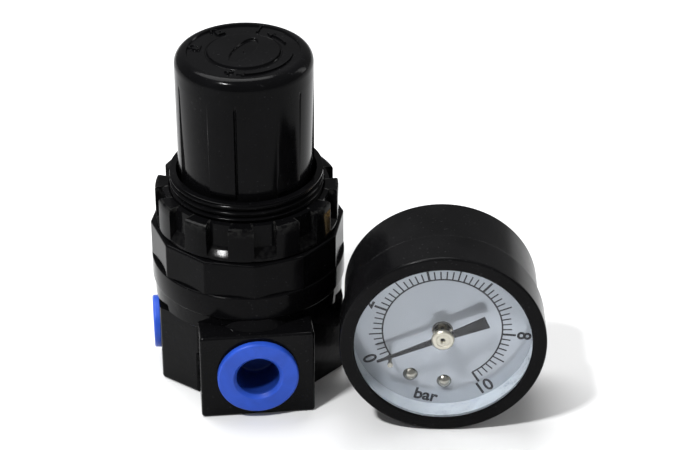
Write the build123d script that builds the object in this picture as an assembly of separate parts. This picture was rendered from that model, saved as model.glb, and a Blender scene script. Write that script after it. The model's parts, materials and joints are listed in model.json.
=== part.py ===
from build123d import *
import math
import os

# Compact air pressure regulator with a push-to-lock knob, and its loose 40 mm pressure gauge.
# Millimetres, +Z up, origin on the regulator's axis at its bottom face. The plugged main port
# faces -Y, the open one +Y, and the gauge ports face -X and +X. The gauge stands on its bezel
# and case rim on the same surface, beside the regulator, dial towards -Y.

# ---- driving dimensions: regulator body ----
BODY_TOP = 22.4                # joint between body and bonnet
BLOCK_TOP = 18.6               # top of the eight-sided block
LEDGE_Z = 19.4                 # the diaphragm's rim rests here
SIDE_X = 20.0                  # gauge-port faces
SIDE_HALF_WIDTH = 8.1          # half width of a gauge-port face
CORNER_FACE_END_Y = 14.85      # where a corner face meets the port boss
BOSS_HALF_WIDTH = 12.25
BOSS_TOP = 20.4
PORT_FACE_Y = 23.88
COLLAR_R = 20.5
SHOULDER_CENTRE_Y = 13.4       # rounded shoulder above each main port
SHOULDER_R = 9.5
SHOULDER_TOP_R = 7.5
CLAMP_SLOT_TOP = 10.6          # slots beside the bosses for a modular joining clamp
PORT_Z = 10.43
PORT_R = 6.58                  # G1/4, at the thread's major radius
PORT_DEPTH = 12.9
GAUGE_PORT_Z = 9.7
GAUGE_PORT_R = 4.88            # 1/8, at the thread's major radius
GAUGE_PORT_DEPTH = 8.5
CAP_BORE_R = 9.05
CAP_BORE_TOP = 6.2
VALVE_CHAMBER_R = 6.5
SEAT_BOTTOM = 10.2
SEAT_TOP = 11.4
SEAT_ORIFICE_R = 3.4
OUTLET_CHAMBER_R = 6.0
DIAPHRAGM_CHAMBER_FLOOR = 17.8
DIAPHRAGM_CHAMBER_R = 14.0
BONNET_THREAD_R = 17.95

# ---- driving dimensions: bonnet, nut and knob ----
BAND_R = 20.98
BAND_TOP = 28.0
FACET_TOP = 36.0
FACET_APOTHEM = 20.25
FACETS = 12
NECK_R = 16.5                  # M33 x 1.5 panel thread
NECK_TOP = 48.3
THREAD_RELIEF_BOTTOM = 41.7    # groove around the neck, behind the top of the panel nut
THREAD_RELIEF_TOP = 44.3
NECK_BORE_R = 15.0
CHANNEL_FLOOR = 38.0
SPRING_CHAMBER_R = 14.0
COLUMN_R = 12.0
COLUMN_BORE_R = 10.2
COLUMN_TOP = 52.0
COLUMN_ROOF = 50.0             # underside of the column's roof
LOCK_RIBS = 12
LOCK_RIB_WIDTH = 1.6
LOCK_STROKE = 3.0
NUT_R = 19.74
NUT_TOP = 44.2
NUT_BORE_R = 16.56
NUT_NOTCHES = 12
NUT_NOTCH_WIDTH = 4.8
NUT_NOTCH_PHASE = -22.8        # degrees from -Y towards +X
KNOB_TOP = 76.1
KNOB_R = 14.6
KNOB_EDGE_R = 2.8
KNOB_SKIRT_BOTTOM = 42.5
KNOB_GRIP_TOP = 71.0
KNOB_GRIP_BOTTOM = 48.8
KNOB_PAD_START = -36.2         # raised grip pads, degrees from -Y towards +X
KNOB_PAD_ARC = 23.7
KNOB_PADS = 6
KNOB_BORE_R = 13.2
KNOB_ROOF = 2.2

# ---- driving dimensions: valve and adjusting parts ----
SCREW_R = 3.5
SCREW_PITCH = 1.0
SCREW_BOTTOM = 37.5
SCREW_FLANGE_BOTTOM = 48.3
SEAT_NUT_BOTTOM = 44.0
SEAT_NUT_HEIGHT = 4.0
DRIVE_FLATS = 8.0              # hexagon that turns with the knob
DRIVE_BOTTOM = 53.4
DRIVE_TOP = 68.0
PLATE_TOP = 22.3               # spring seat on the diaphragm plate
SPRING_MEAN_R = 8.6
SPRING_WIRE_R = 1.1

# ---- driving dimensions: gauge, depths are measured back from the bezel's front ----
GAUGE_CENTRE = (38.33, -33.59, 21.78)
GAUGE_YAW = -6.71
DIAL_ROLL = 13.6               # clockwise, seen from the front
BEZEL_R = 21.78
BEZEL_OPENING_R = 18.66
BEZEL_DEPTH = 9.28
CASE_R = 20.88
CASE_WALL = 1.0
CASE_FRONT = 2.75
CASE_BACK = 23.24
CASE_EDGE_R = 0.4
DIAL_DEPTH = 6.3
DIAL_THICKNESS = 0.6
POINTER_DEPTH = 3.0
POINTER_ANGLE = -127.6         # dial angle, clockwise from the dial's top
POINTER_TIP_R = 15.1
POINTER_TAIL_R = 10.1
STOP_PIN_R = 12.9              # its distance from the dial centre
STOP_PIN_ANGLE = -135.1
DIAL_RIVET_R = 13.2
DIAL_RIVET_ANGLES = (163.6, 196.4)
GEAR_MODULE = 0.2
PINION_TEETH = 12
SECTOR_TEETH = 96              # on a full circle
SECTOR_ARM = 4.0
TUBE_R = 14.5
TUBE_START = 198.0             # dial angles of the Bourdon tube's root and tip
TUBE_END = 412.0
STEM_R = 4.83                  # 1/8 thread, major radius
STEM_HEX_FLATS = 13.0
STEM_HEX_DEPTH = 31.4
STEM_TIP_DEPTH = 41.0

UP = (Align.CENTER, Align.CENTER, Align.MIN)


def disc(radius, bottom, top):
    """A round solid about Z."""
    return Pos(0, 0, bottom) * Cylinder(radius, top - bottom, align=UP)


def ring(outer, inner, bottom, top):
    """A round solid about Z with a round hole."""
    return disc(outer, bottom, top) - disc(inner, bottom - 1, top + 1)


def lathe(points):
    """Revolve a closed outline of (radius, height) points about Z."""
    outline = Polyline(*points, close=True)
    return revolve(Plane.XZ * make_face(outline), Axis.Z)


def block(low, high):
    """A box between two opposite corners."""
    size = [b - a for a, b in zip(low, high)]
    return Pos(*low) * Box(*size, align=(Align.MIN, Align.MIN, Align.MIN))


def prism(points, bottom, top):
    """Extrude a closed outline in the XY plane."""
    outline = make_face(Polyline(*points, close=True))
    return Pos(0, 0, bottom) * extrude(outline, top - bottom)


def hexagon(flats, bottom, top):
    """A hexagonal prism about Z."""
    return Pos(0, 0, bottom) * extrude(RegularPolygon(flats / 2, 6, major_radius=False), top - bottom)


def along_y(radius, start, end, z, x=0.0):
    """A round solid along Y, from start to end."""
    low, high = min(start, end), max(start, end)
    return Pos(x, low, z) * Rot(-90, 0, 0) * Cylinder(radius, high - low, align=UP)


def along_x(radius, start, end, z):
    """A round solid along X, from start to end."""
    low, high = min(start, end), max(start, end)
    return Pos(low, 0, z) * Rot(0, 90, 0) * Cylinder(radius, high - low, align=UP)


def torus(mean, section, z):
    """An O-ring about Z."""
    return Pos(0, 0, z) * Torus(mean, section)


def azimuth(degrees):
    """Rotation that carries the -Y direction by an angle towards +X."""
    return Rot(0, 0, degrees)


def coil(mean, wire, bottom, top, turns):
    """A round-wire compression spring that fills a height."""
    height = top - bottom - 2 * wire
    path = Helix(pitch=height / turns, height=height, radius=mean)
    section = Plane(origin=path @ 0, z_dir=path % 0) * Circle(wire)
    return Pos(0, 0, bottom + wire) * sweep(section, path=path, is_frenet=True)


# ---- regulator: fixed pieces ----

def make_body():
    """Die-cast body: eight-sided block, two port bosses, round collar, and all the bores."""
    outline = []
    for sx, sy in ((1, 1), (-1, 1), (-1, -1), (1, -1)):
        corner = [(sx * SIDE_X, sy * SIDE_HALF_WIDTH), (sx * BOSS_HALF_WIDTH, sy * CORNER_FACE_END_Y)]
        outline += corner if sx * sy > 0 else corner[::-1]
    cast = prism(outline, 0, BLOCK_TOP)
    cast = fillet(cast.edges().filter_by(Axis.Z), 1.0)
    cast = fillet(cast.edges().group_by(Axis.Z)[0], 0.7)
    for side in (-1, 1):
        low_y = min(side * PORT_FACE_Y, 0)
        boss = block((-BOSS_HALF_WIDTH, low_y, 0), (BOSS_HALF_WIDTH, low_y + PORT_FACE_Y, BOSS_TOP))
        boss = fillet(boss.edges().filter_by(Axis.Y), 0.8)
        boss = fillet(boss.edges().group_by(Axis.Y)[0 if side < 0 else -1], 0.6)
        cast += boss
        shoulder = Pos(0, side * SHOULDER_CENTRE_Y, 19.6) * Cone(SHOULDER_R, SHOULDER_TOP_R, 2.8, align=UP)
        cast += shoulder
    cast += disc(COLLAR_R, BLOCK_TOP, BODY_TOP)
    cast += Pos(0, 0, BLOCK_TOP - 1.2) * Cone(COLLAR_R - 1.2, COLLAR_R, 1.2, align=UP)
    for side in (-1, 1):
        slot_y = side * 15.6
        for sx in (-1, 1):
            low = (sx * 12.0 - 0.9, slot_y - 1.2, -1)
            cast -= block(low, (low[0] + 1.8, slot_y + 1.2, CLAMP_SLOT_TOP))
    # valve bore from below, seat, outlet chamber, and the diaphragm chamber from above
    cast -= disc(CAP_BORE_R, -1, CAP_BORE_TOP)
    cast -= disc(VALVE_CHAMBER_R, CAP_BORE_TOP - 1, SEAT_BOTTOM)
    cast -= disc(SEAT_ORIFICE_R, SEAT_BOTTOM - 1, SEAT_TOP + 1)
    cast -= disc(OUTLET_CHAMBER_R, SEAT_TOP, DIAPHRAGM_CHAMBER_FLOOR + 1)
    cast -= disc(DIAPHRAGM_CHAMBER_R, DIAPHRAGM_CHAMBER_FLOOR, BODY_TOP)
    cast -= disc(BONNET_THREAD_R + 0.03, LEDGE_Z, BODY_TOP + 1)
    # main ports and their passages: the front one feeds the valve chamber, the back one is fed
    # by the outlet chamber
    for side in (-1, 1):
        end = side * (PORT_FACE_Y - PORT_DEPTH)
        cast -= along_y(PORT_R, end, side * (PORT_FACE_Y + 1), PORT_Z)
        lead_in = Pos(0, side * (PORT_FACE_Y - 0.6), PORT_Z) * Rot(-90 * side, 0, 0)
        cast -= lead_in * Cone(PORT_R, PORT_R + 0.9, 1.0, align=UP)
    cast -= along_y(1.7, -11.5, -5.0, 8.2)
    cast -= along_y(2.0, 5.0, 11.5, 13.8)
    for side in (-1, 1):
        end = side * (SIDE_X - GAUGE_PORT_DEPTH)
        cast -= along_x(GAUGE_PORT_R, end, side * (SIDE_X + 1), GAUGE_PORT_Z)
        cast -= along_x(1.1, side * 5.0, end + side * 0.5, 12.6)
    return cast


def make_bottom_cap():
    """Screwed cap that closes the valve chamber and guides the valve's lower stem."""
    cap = disc(CAP_BORE_R - 0.03, 0, 4.4) + disc(7.3, 4.3, 5.5)
    cap -= disc(1.86, 2.0, 6)
    cap -= disc(2.7, 4.6, 6)
    for x in (-5.5, 5.5):
        cap -= Pos(x, 0, -1) * Cylinder(1.0, 2.5, align=UP)
    return cap


def make_bonnet():
    """Bonnet: threaded spigot, round band, twelve-sided wrench grip, threaded neck for the
    panel nut, and the inner column that holds the adjusting screw."""
    shell = ring(BONNET_THREAD_R, SPRING_CHAMBER_R, LEDGE_Z + 1.42, BODY_TOP + 0.5)
    shell += disc(BAND_R, BODY_TOP, BAND_TOP)
    grip = RegularPolygon(FACET_APOTHEM, FACETS, major_radius=False)
    shell += Pos(0, 0, BAND_TOP) * extrude(grip, FACET_TOP - BAND_TOP)
    shell += disc(NECK_R, FACET_TOP, NECK_TOP)
    shell -= ring(NECK_R + 1, NECK_R - 0.8, THREAD_RELIEF_BOTTOM, THREAD_RELIEF_TOP)
    shell -= ring(NECK_BORE_R, COLUMN_R, CHANNEL_FLOOR, NECK_TOP + 1)
    shell += disc(COLUMN_R, CHANNEL_FLOOR, COLUMN_TOP)
    shell -= disc(SPRING_CHAMBER_R, 19, 33.0)
    shell -= Pos(0, 0, 33.0) * Cone(SPRING_CHAMBER_R, COLUMN_BORE_R, 3.0, align=UP)
    shell -= disc(COLUMN_BORE_R, 35, COLUMN_ROOF)
    shell -= disc(SCREW_R + 0.02, COLUMN_ROOF - 1, COLUMN_TOP + 1)
    for side in (-1, 1):
        shell -= block((-1.15, min(0, side * 11.1), 34.0), (1.15, max(0, side * 11.1), COLUMN_ROOF))
    for index in range(LOCK_RIBS):
        rib = block((COLUMN_R - 0.5, -LOCK_RIB_WIDTH / 2, 46.2), (COLUMN_R + 0.8, LOCK_RIB_WIDTH / 2, 50.0))
        shell += Rot(0, 0, 360 / LOCK_RIBS * index) * rib
    return shell


def make_thrust_washer():
    """Washer between the screw's flange and the column's roof."""
    return ring(7.0, SCREW_R + 0.08, 49.36, COLUMN_ROOF)


def make_diaphragm():
    """Rubber diaphragm: clamped rim, one raised convolution, flat centre with a hub hole."""
    inner_arch, outer_arch = 10.4, 13.4
    middle = (inner_arch + outer_arch) / 2
    top, under = LEDGE_Z + 1.4, LEDGE_Z + 0.4
    upper = [(17.9, top), (outer_arch, top), (middle, top + 1.3), (inner_arch, top), (3.0, top)]
    lower = [(3.0, under), (inner_arch + 0.5, under), (middle, under + 1.2), (outer_arch - 0.5, under),
             (13.9, under - 0.1), (13.9, LEDGE_Z + 0.02), (17.9, LEDGE_Z + 0.02)]
    return lathe(upper + lower)


# ---- regulator: valve ----

def make_valve_poppet():
    """Brass poppet: lower guide stem, disc, and the thin stem that meets the relief seat."""
    return disc(1.8, 3.2, 8.4) + disc(4.6, 8.3, 9.3) + disc(2.1, 9.2, 10.1) + disc(1.2, 10.0, 18.16)


def make_valve_seal():
    """Rubber ring on the poppet that closes on the seat."""
    return ring(4.6, 2.12, 9.3, 10.15)


# ---- regulator: diaphragm hub and adjusting parts ----

def make_relief_seat():
    """Hub through the diaphragm, with the relief hole that the valve's stem closes."""
    hub = disc(5.0, 18.2, 19.0) + disc(2.9, 18.9, 24.2)
    return hub - disc(0.8, 17, 25)


def make_diaphragm_washer():
    """Backing washer under the diaphragm."""
    return ring(8.5, 2.93, 19.0, LEDGE_Z + 0.4)


def make_diaphragm_plate():
    """Upper plate that clamps the diaphragm and centres the adjusting spring."""
    plate = disc(10.1, LEDGE_Z + 1.42, PLATE_TOP) + disc(7.2, PLATE_TOP - 0.1, PLATE_TOP + 1.9)
    return plate - disc(2.93, 19, 25)


def make_spring_seat_nut():
    """Nut on the adjusting screw: its two lugs slide in the column's grooves."""
    top = SEAT_NUT_BOTTOM + SEAT_NUT_HEIGHT
    nut = disc(COLUMN_BORE_R - 0.2, SEAT_NUT_BOTTOM, top)
    nut += block((-1.0, -11.0, SEAT_NUT_BOTTOM), (1.0, 11.0, top))
    nut += disc(7.2, SEAT_NUT_BOTTOM - 1.6, SEAT_NUT_BOTTOM + 0.1)
    return nut - disc(SCREW_R + 0.06, SEAT_NUT_BOTTOM - 3, top + 1)


def make_adjusting_screw():
    """Adjusting screw: thread, thrust flange, journal in the roof, hexagon for the knob."""
    screw = disc(SCREW_R, SCREW_BOTTOM, SCREW_FLANGE_BOTTOM + 0.1)
    screw += disc(6.4, SCREW_FLANGE_BOTTOM, 49.3)
    screw += disc(SCREW_R - 0.05, 49.2, 52.2)
    screw += disc(2.8, 52.1, DRIVE_BOTTOM + 0.1)
    screw += hexagon(DRIVE_FLATS, DRIVE_BOTTOM, DRIVE_TOP)
    return screw


def make_screw_clip():
    """Open retaining clip in the screw's groove, above the column's roof."""
    clip = ring(6.2, 2.84, 52.3, 53.1)
    return clip - block((-1.6, 0, 51), (1.6, 8, 54))


def make_panel_nut():
    """Ring nut for panel mounting, with open notches for a hook spanner."""
    nut = lathe([(NUT_BORE_R, FACET_TOP + 0.05), (NUT_R - 0.4, FACET_TOP + 0.05), (NUT_R, FACET_TOP + 0.45),
                 (NUT_R, NUT_TOP - 0.5), (NUT_R - 0.5, NUT_TOP), (NUT_BORE_R + 0.3, NUT_TOP),
                 (NUT_BORE_R, NUT_TOP - 0.3)])
    half = NUT_NOTCH_WIDTH / 2
    profile = [(17.9, 38.7), (21.0, 36.7), (21.0, 46.0), (17.9, 46.0)]
    wedge = extrude(Plane.XZ * make_face(Polyline(*profile, close=True)), half, both=True)
    for index in range(NUT_NOTCHES):
        angle = NUT_NOTCH_PHASE + 360 / NUT_NOTCHES * index
        nut -= azimuth(angle) * Rot(0, 0, -90) * wedge
    return nut


def make_knob():
    """Push-to-lock knob: skirt with six raised grip pads, hexagonal hub, and inner lock ribs."""
    knob = lathe([(0, KNOB_SKIRT_BOTTOM), (13.95, KNOB_SKIRT_BOTTOM), (14.05, KNOB_GRIP_BOTTOM),
                  (KNOB_R, KNOB_GRIP_TOP), (KNOB_R, KNOB_TOP), (0, KNOB_TOP)])
    knob = fillet(knob.edges().group_by(Axis.Z)[-1], KNOB_EDGE_R)
    pads = lathe([(13.5, KNOB_GRIP_BOTTOM), (14.45, KNOB_GRIP_BOTTOM), (KNOB_R, KNOB_GRIP_TOP), (13.5, KNOB_GRIP_TOP)])
    reach = 2 * KNOB_R
    start = math.radians(KNOB_PAD_START - 90)
    end = math.radians(KNOB_PAD_START + KNOB_PAD_ARC - 90)
    pie = prism([(0, 0), (reach * math.cos(start), reach * math.sin(start)),
                 (reach * math.cos(end), reach * math.sin(end))], KNOB_GRIP_BOTTOM, KNOB_GRIP_TOP)
    pad = pads & pie
    for index in range(KNOB_PADS):
        knob += Rot(0, 0, 360 / KNOB_PADS * index) * pad
    knob -= disc(KNOB_BORE_R, KNOB_SKIRT_BOTTOM - 1, KNOB_TOP - KNOB_ROOF)
    hub_bottom = 57.0
    knob += disc(7.0, hub_bottom, KNOB_TOP - 1.0)
    knob -= hexagon(DRIVE_FLATS + 0.16, hub_bottom - 1, 72.0)
    for index in range(LOCK_RIBS):
        angle = 360 / LOCK_RIBS * (index + 0.5)
        rib = block((COLUMN_R + 0.4, -LOCK_RIB_WIDTH / 2, 50.7), (KNOB_BORE_R + 0.3, LOCK_RIB_WIDTH / 2, 53.2))
        knob += Rot(0, 0, angle) * rib
    knob -= ring(7.8, 7.4, KNOB_TOP - 0.35, KNOB_TOP + 1)
    oval = Pos(0, 0, KNOB_TOP - 0.4) * extrude(Rot(0, 0, 62) * Ellipse(6.0, 2.2), 1.0)
    return knob - oval


def make_plug(flange_r, flange_thickness, shank_r, shank_length, cup_r):
    """Push-in dust plug about Z: flange at the outside, hollow shank closed at its inner end."""
    plug = disc(flange_r, 0, flange_thickness) + disc(shank_r, -shank_length, 0.1)
    plug = fillet(plug.edges().group_by(Axis.Z)[-1], 0.5)
    plug -= disc(cup_r, 1.2 - shank_length, flange_thickness + 1)
    mouth = Pos(0, 0, flange_thickness - 0.7) * Cone(cup_r, cup_r + 0.75, 0.75, align=UP)
    return plug - mouth


# ---- gauge: all built about Z, with Z as depth, X to the right and Y down, seen from the front ----

def dial_point(radius, angle):
    """Place on the dial, the angle clockwise from the dial's top."""
    turn = math.radians(angle)
    return radius * math.sin(turn), -radius * math.cos(turn)


def at_dial(radius, angle):
    """Move to a place on the dial."""
    x, y = dial_point(radius, angle)
    return Pos(x, y, 0)


def tooth_points(count, centre_angle, root, tip, direction=1):
    """Outline of one straight-sided tooth, counter-clockwise in the XY plane."""
    pitch = 360 / count
    points = []
    for share, radius in ((-0.30, root), (-0.13, tip), (0.13, tip), (0.30, root)):
        turn = math.radians(centre_angle + direction * share * pitch)
        points.append((radius * math.cos(turn), radius * math.sin(turn)))
    return points


def gear_radii(teeth):
    """Root and tip radii of a gear."""
    pitch_radius = GEAR_MODULE * teeth / 2
    return pitch_radius - 1.25 * GEAR_MODULE, pitch_radius + 0.8 * GEAR_MODULE


def gear_distance():
    """Distance between the pinion's and the sector's axes."""
    return GEAR_MODULE * (PINION_TEETH + SECTOR_TEETH) / 2


def make_gauge_case():
    """Pressed case: back wall with a rounded edge, and the wall that the bezel snaps over."""
    inner = CASE_R - CASE_WALL
    case = disc(CASE_R, CASE_FRONT, CASE_BACK)
    case = fillet(case.edges().group_by(Axis.Z)[-1], CASE_EDGE_R)
    case -= disc(inner, CASE_FRONT - 1, CASE_BACK - 1.2)
    case -= disc(6.3, CASE_BACK - 3, CASE_BACK + 1)
    for x in (-9.6, 9.6):
        case -= Pos(x, 0, CASE_BACK - 3) * Cylinder(1.3, 5, align=UP)
    return case


def make_gauge_bezel():
    """Snap-on bezel: front lip and a wall outside the case."""
    lip = 0.6
    bezel = lathe([(BEZEL_OPENING_R, 0), (BEZEL_R, 0), (BEZEL_R, BEZEL_DEPTH), (CASE_R + 0.02, BEZEL_DEPTH),
                   (CASE_R + 0.02, lip), (BEZEL_OPENING_R + 0.25, lip)])
    return fillet(bezel.edges().filter_by(GeomType.CIRCLE).sort_by(Axis.Z)[0:2].sort_by(SortBy.RADIUS)[-1], 0.5)


def make_crystal():
    """Clear window behind the bezel's lip."""
    return disc(20.6, 0.62, 1.72)


def make_crystal_gasket():
    """Soft ring between the window and the case."""
    return ring(20.6, 19.95, 1.72, 2.73)


def make_dial_ring():
    """White ring between the window and the dial."""
    return lathe([(18.9, 1.76), (19.85, 1.76), (19.85, DIAL_DEPTH), (19.2, DIAL_DEPTH)])


def make_dial():
    """Dial plate with the shaft hole and the rivet and pin holes."""
    plate = disc(19.7, DIAL_DEPTH, DIAL_DEPTH + DIAL_THICKNESS)
    plate -= disc(2.2, DIAL_DEPTH - 1, DIAL_DEPTH + 2)
    for angle in DIAL_RIVET_ANGLES:
        plate -= at_dial(DIAL_RIVET_R, angle) * disc(0.95, DIAL_DEPTH - 1, DIAL_DEPTH + 2)
    pin_x, pin_y = dial_point(STOP_PIN_R, STOP_PIN_ANGLE)
    return plate - Pos(pin_x, pin_y, DIAL_DEPTH - 1) * Cylinder(0.42, 3, align=UP)


def make_dial_rivets():
    """Two dome-headed rivets that hold the dial."""
    crown_r, crown = 1.6, 1.1
    sphere_r = (crown_r ** 2 + crown ** 2) / (2 * crown)
    dome = Pos(0, 0, DIAL_DEPTH - crown + sphere_r) * Sphere(sphere_r)
    dome &= disc(crown_r, DIAL_DEPTH - crown, DIAL_DEPTH)
    rivet = dome + disc(0.8, DIAL_DEPTH - 0.05, 11.0)
    return [at_dial(DIAL_RIVET_R, angle) * rivet for angle in DIAL_RIVET_ANGLES]


def make_stop_pin():
    """Pin that the pointer rests against at zero."""
    pin = disc(0.4, 2.9, DIAL_DEPTH + DIAL_THICKNESS) + disc(0.6, 2.7, 3.2)
    return at_dial(STOP_PIN_R, STOP_PIN_ANGLE) * pin


def make_pointer():
    """Pointer blade with a flared tail and a hole for its hub, at the rest angle."""
    blade = [(-0.65, 1.2), (-0.25, POINTER_TIP_R), (0.25, POINTER_TIP_R), (0.65, 1.2),
             (0.78, -1.2), (1.4, -POINTER_TAIL_R), (-1.4, -POINTER_TAIL_R), (-0.78, -1.2)]
    outline = [(x, -y) for x, y in blade]
    plate = prism(outline, POINTER_DEPTH, POINTER_DEPTH + 0.4) + disc(2.0, POINTER_DEPTH, POINTER_DEPTH + 0.4)
    plate -= disc(0.92, POINTER_DEPTH - 1, POINTER_DEPTH + 1)
    return Rot(0, 0, POINTER_ANGLE) * plate


def make_pointer_hub():
    """Brass hub pressed through the pointer onto the shaft."""
    hub = disc(2.42, 2.1, 3.0) + disc(0.9, 2.9, 4.4)
    return hub - disc(0.42, 1, 5)


def make_pinion_shaft():
    """Pointer shaft with its pinion."""
    root, tip = gear_radii(PINION_TEETH)
    outline = []
    for index in range(PINION_TEETH):
        outline += tooth_points(PINION_TEETH, 360 / PINION_TEETH * (index + 0.5), root, tip)
    return prism(outline, 10.4, 12.3) + disc(0.4, 2.7, 13.2)


def make_dial_bushing():
    """Small brass bush around the shaft, seen in the middle of the dial."""
    return ring(2.1, 0.46, 5.6, 8.6)


def make_movement_plate(front, back):
    """One plate of the movement, with its two bearing holes."""
    plate = block((-4.6, -4.2, front), (14.9, 4.2, back))
    plate = fillet(plate.edges().filter_by(Axis.Z), 1.5)
    plate -= disc(0.46, front - 1, back + 1)
    return plate - Pos(gear_distance(), 0, 0) * disc(0.56, front - 1, back + 1)


def make_movement_pillars():
    """Four pillars between the movement plates."""
    places = ((-3.2, -2.6), (-3.2, 2.6), (13.0, -2.8), (13.0, 2.8))
    return [Pos(x, y, 0) * disc(0.7, 9.42, 12.58) for x, y in places]


def make_sector_gear():
    """Toothed sector with its arm for the link, at rest."""
    root, tip = gear_radii(SECTOR_TEETH)
    pitch = 360 / SECTOR_TEETH
    outline = [(0, 0)]
    for step in range(-1, 12):
        outline += tooth_points(SECTOR_TEETH, 180 + pitch * step, root, tip)
    sector = prism(outline, 10.8, 11.8)
    sector += disc(1.7, 10.8, 11.8)
    window = [(4.2 * math.cos(a), 4.2 * math.sin(a)) for a in (math.radians(185), math.radians(216))]
    far = [(7.6 * math.cos(a), 7.6 * math.sin(a)) for a in (math.radians(214), math.radians(187))]
    sector -= prism(window + far, 10, 12.5)
    arm = block((0, -0.8, 10.8), (SECTOR_ARM, 0.8, 11.8)) + Pos(SECTOR_ARM, 0, 0) * disc(0.8, 10.8, 11.8)
    arm += Pos(SECTOR_ARM, 0, 0) * disc(0.35, 11.7, 12.5)
    sector += Rot(0, 0, 16.4) * arm
    sector -= disc(0.5, 10, 12.5)
    return Pos(gear_distance(), 0, 0) * sector


def make_sector_shaft():
    """Shaft that carries the sector."""
    return Pos(gear_distance(), 0, 0) * disc(0.5, 8.7, 13.3)


def link_bottom():
    """Middle of the link's lower eye at rest."""
    rise = SECTOR_ARM * math.sin(math.radians(16.4))
    return gear_distance() + SECTOR_ARM * 0.98, rise


def tip_pin_place():
    """Place of the pin on the Bourdon tube's tip."""
    return link_bottom()[0], -8.9


def make_link():
    """Link from the sector's arm to the tube's tip: lower eye, and a slotted upper end."""
    x, low = link_bottom()
    high = tip_pin_place()[1]
    bar = block((x - 0.7, high + 2.6, 11.9), (x + 0.7, low - 0.6, 12.3))
    eye = Pos(x, low, 0) * disc(1.1, 11.9, 12.3)
    slot_end = block((x - 1.0, high - 0.8, 11.9), (x + 1.0, high + 4.0, 12.3))
    link = bar + eye + slot_end
    link -= Pos(x, low, 0) * disc(0.6, 11, 13)
    return link - block((x - 0.5, high - 0.45, 11), (x + 0.5, high + 3.2, 13))


def dial_wedge(start, end, bottom, top):
    """Pie between two dial angles, for cutting rings into arcs."""
    reach, steps = 30, 8
    points = [dial_point(reach, start + (end - start) * k / steps) for k in range(steps + 1)]
    return prism([(0, 0)] + points, bottom, top)


def make_bourdon_tube():
    """Flattened C-shaped tube, closed at its tip, open at its root into the socket's foot."""
    outer = ring(TUBE_R + 0.8, TUBE_R - 0.8, 13.6, 18.1)
    bore = ring(TUBE_R + 0.5, TUBE_R - 0.5, 13.9, 17.8)
    tube = outer & dial_wedge(TUBE_START, TUBE_END, 13, 19)
    return tube - (bore & dial_wedge(TUBE_START - 1, TUBE_END - 2, 13, 19))


def make_tube_tip():
    """End piece on the tube's tip, with the pin that the link hangs on."""
    x, y = tip_pin_place()
    tip = ring(18.7, TUBE_R - 0.8, 13.6, 17.2) & dial_wedge(TUBE_END + 0.05, TUBE_END + 9, 13, 19)
    return tip + Pos(x, y, 0) * disc(0.4, 11.5, 13.7)


def make_gauge_socket():
    """Socket: threaded stem, hexagon, flange inside the case, foot for the tube, dial posts."""
    stem = disc(STEM_R, STEM_HEX_DEPTH - 0.1, STEM_TIP_DEPTH)
    stem = chamfer(stem.edges().group_by(Axis.Z)[-1], 0.7)
    socket = stem + hexagon(STEM_HEX_FLATS, CASE_BACK + 0.1, STEM_HEX_DEPTH)
    socket += disc(6.2, 13.42, CASE_BACK + 0.2)
    socket += disc(12.0, 19.6, CASE_BACK - 1.22)
    socket += block((-5.6, 0, 13.42), (5.6, 15.6, 19.2))
    for angle in DIAL_RIVET_ANGLES:
        socket += at_dial(DIAL_RIVET_R, angle) * disc(1.7, DIAL_DEPTH + DIAL_THICKNESS + 0.02, 13.6)
        socket -= at_dial(DIAL_RIVET_R, angle) * disc(0.84, 5, 11.2)
    for x in (-9.6, 9.6):
        socket -= Pos(x, 0, 0) * disc(1.05, 20.4, 23.0)
    tube_socket = ring(TUBE_R + 0.82, TUBE_R - 0.82, 13.58, 18.12)
    socket -= tube_socket & dial_wedge(TUBE_START, TUBE_START + 30, 13, 19)
    socket -= disc(1.5, 17.0, STEM_TIP_DEPTH + 1)
    return socket


def make_case_screws():
    """Two pan-head screws through the case's back into the socket."""
    head = fillet(disc(2.1, CASE_BACK, CASE_BACK + 1.3).edges().group_by(Axis.Z)[-1], 0.5)
    head -= block((-2.4, -0.25, CASE_BACK + 0.7), (2.4, 0.25, CASE_BACK + 2))
    screw = head + disc(1.0, 20.5, CASE_BACK + 0.1)
    return [Pos(x, 0, 0) * screw for x in (-9.6, 9.6)]


def make_hairspring():
    """Flat spiral spring about the pointer shaft that takes up the gears' slack."""
    turns, inner, outer, thickness = 3.0, 0.9, 3.4, 0.12
    steps = 36
    rows = []
    for offset in (0, thickness):
        row = []
        for k in range(steps + 1):
            turn = 2 * math.pi * turns * k / steps
            radius = inner + (outer - inner) * k / steps + offset
            row.append((radius * math.cos(turn), radius * math.sin(turn)))
        rows.append(row)
    near = Spline(*rows[0])
    far = Spline(*rows[1])
    ends = [Line(rows[0][0], rows[1][0]), Line(rows[0][-1], rows[1][-1])]
    return Pos(0, 0, 9.6) * extrude(make_face([near, far] + ends), 0.45)


def place_gauge():
    """From the gauge's own frame to its place beside the regulator."""
    return Pos(*GAUGE_CENTRE) * Rot(0, 0, GAUGE_YAW) * Rot(0, DIAL_ROLL, 0) * Rot(-90, 0, 0)


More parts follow.
